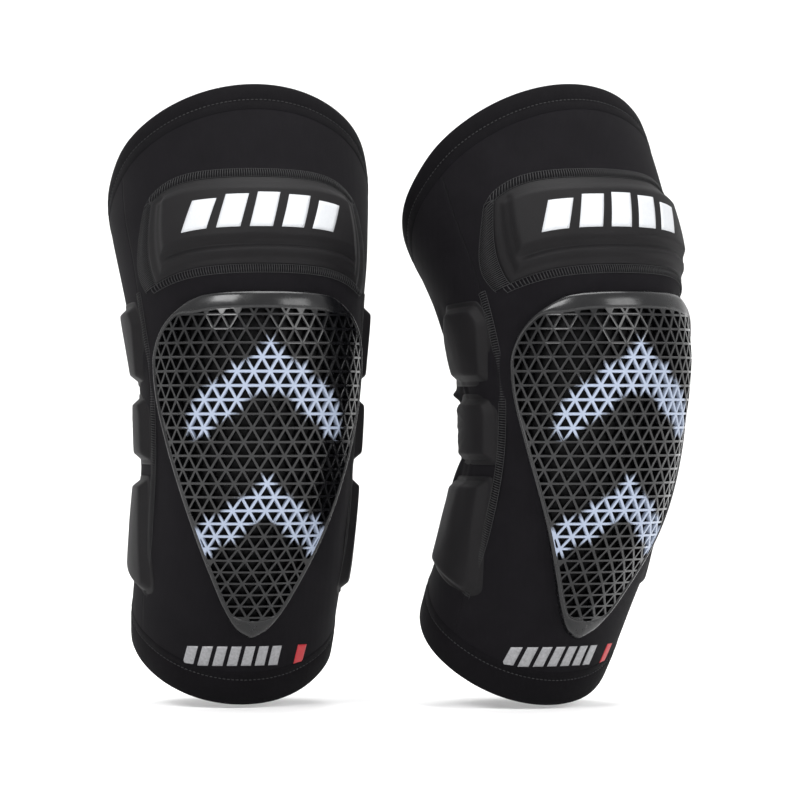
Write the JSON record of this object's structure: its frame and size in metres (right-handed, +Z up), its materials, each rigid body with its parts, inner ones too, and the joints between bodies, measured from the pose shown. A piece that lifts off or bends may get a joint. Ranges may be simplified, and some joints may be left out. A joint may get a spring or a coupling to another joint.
{
  "type": "knee guards",
  "caption": "Pair of slip-on knee guards: pre-curved stretch sleeves with a ribbed knee cup, a moulded brow pad and side pads, bending at the knee.",
  "frame": {"origin": "centre of the pair's overall box, at its lowest point", "axes": "+Z up the leg, knee cups facing -Y, the guards side by side along X"},
  "size_m": [0.324, 0.1726, 0.3418],
  "materials": {
    "sleeve_fabric": "matte four-way stretch knit",
    "hem_fabric": "matte doubled hem, stitched",
    "mesh_fabric": "open warp-knit mesh",
    "moulded_pad": "fabric-faced moulded foam, matte",
    "foam": "soft impact foam",
    "cup_plastic": "glossy flexible lattice, sprayed pale zones",
    "white_print": "raised rubber print",
    "grey_print": "heat-transfer print",
    "silicone": "smooth silicone"
  },
  "bodies": {
    "left_shin": {"left_shin_front_panel": "sleeve_fabric", "left_shin_side_panel_inside": "sleeve_fabric", "left_shin_side_panel_outside": "sleeve_fabric", "left_shin_back_panel": "sleeve_fabric", "left_shin_hem": "hem_fabric", "left_shin_grip_strip": "silicone", "left_knee_cup": "cup_plastic", "left_cup_liner": "foam", "left_middle_side_pad_inside": "moulded_pad", "left_middle_side_pad_outside": "moulded_pad", "left_lower_side_pad_inside": "moulded_pad", "left_lower_side_pad_outside": "moulded_pad", "left_cuff_graphic": "grey_print", "left_knee_stretch_strip": "sleeve_fabric", "left_knee_gusset_inside": "sleeve_fabric", "left_knee_gusset_outside": "sleeve_fabric", "left_knee_back_mesh": "mesh_fabric"},
    "left_thigh": {"left_thigh_front_panel": "sleeve_fabric", "left_thigh_side_panel_inside": "sleeve_fabric", "left_thigh_side_panel_outside": "sleeve_fabric", "left_thigh_back_panel": "sleeve_fabric", "left_thigh_hem": "hem_fabric", "left_thigh_grip_strip": "silicone", "left_brow_pad": "moulded_pad", "left_brow_graphic": "white_print", "left_upper_side_pad_inside": "moulded_pad", "left_upper_side_pad_outside": "moulded_pad"},
    "right_shin": {"right_shin_front_panel": "sleeve_fabric", "right_shin_side_panel_inside": "sleeve_fabric", "right_shin_side_panel_outside": "sleeve_fabric", "right_shin_back_panel": "sleeve_fabric", "right_shin_hem": "hem_fabric", "right_shin_grip_strip": "silicone", "right_knee_cup": "cup_plastic", "right_cup_liner": "foam", "right_middle_side_pad_inside": "moulded_pad", "right_middle_side_pad_outside": "moulded_pad", "right_lower_side_pad_inside": "moulded_pad", "right_lower_side_pad_outside": "moulded_pad", "right_cuff_graphic": "grey_print", "right_knee_stretch_strip": "sleeve_fabric", "right_knee_gusset_inside": "sleeve_fabric", "right_knee_gusset_outside": "sleeve_fabric", "right_knee_back_mesh": "mesh_fabric"},
    "right_thigh": {"right_thigh_front_panel": "sleeve_fabric", "right_thigh_side_panel_inside": "sleeve_fabric", "right_thigh_side_panel_outside": "sleeve_fabric", "right_thigh_back_panel": "sleeve_fabric", "right_thigh_hem": "hem_fabric", "right_thigh_grip_strip": "silicone", "right_brow_pad": "moulded_pad", "right_brow_graphic": "white_print", "right_upper_side_pad_inside": "moulded_pad", "right_upper_side_pad_outside": "moulded_pad"}
  },
  "joints": [
    {"name": "left_knee_flex", "type": "hinge", "parent": "left_shin", "child": "left_thigh", "pos_m": [-0.08224, -0.01466, 0.15785], "axis": [-0.9781, -0.2079, 0], "range_deg": [-40, 40], "stiffness_Nm_per_rad": 4, "deforming": ["left_knee_stretch_strip", "left_knee_gusset_inside", "left_knee_gusset_outside", "left_knee_back_mesh"]},
    {"name": "right_knee_flex", "type": "hinge", "parent": "right_shin", "child": "right_thigh", "pos_m": [0.0923, -0.01522, 0.15785], "axis": [-0.866, -0.5, 0], "range_deg": [-40, 40], "stiffness_Nm_per_rad": 4, "deforming": ["right_knee_stretch_strip", "right_knee_gusset_inside", "right_knee_gusset_outside", "right_knee_back_mesh"]},
    {"name": "guards_apart", "type": "slide", "parent": "left_shin", "child": "right_shin", "axis": [1, 0, 0], "range_m": [0, 0.2]}
  ]
}
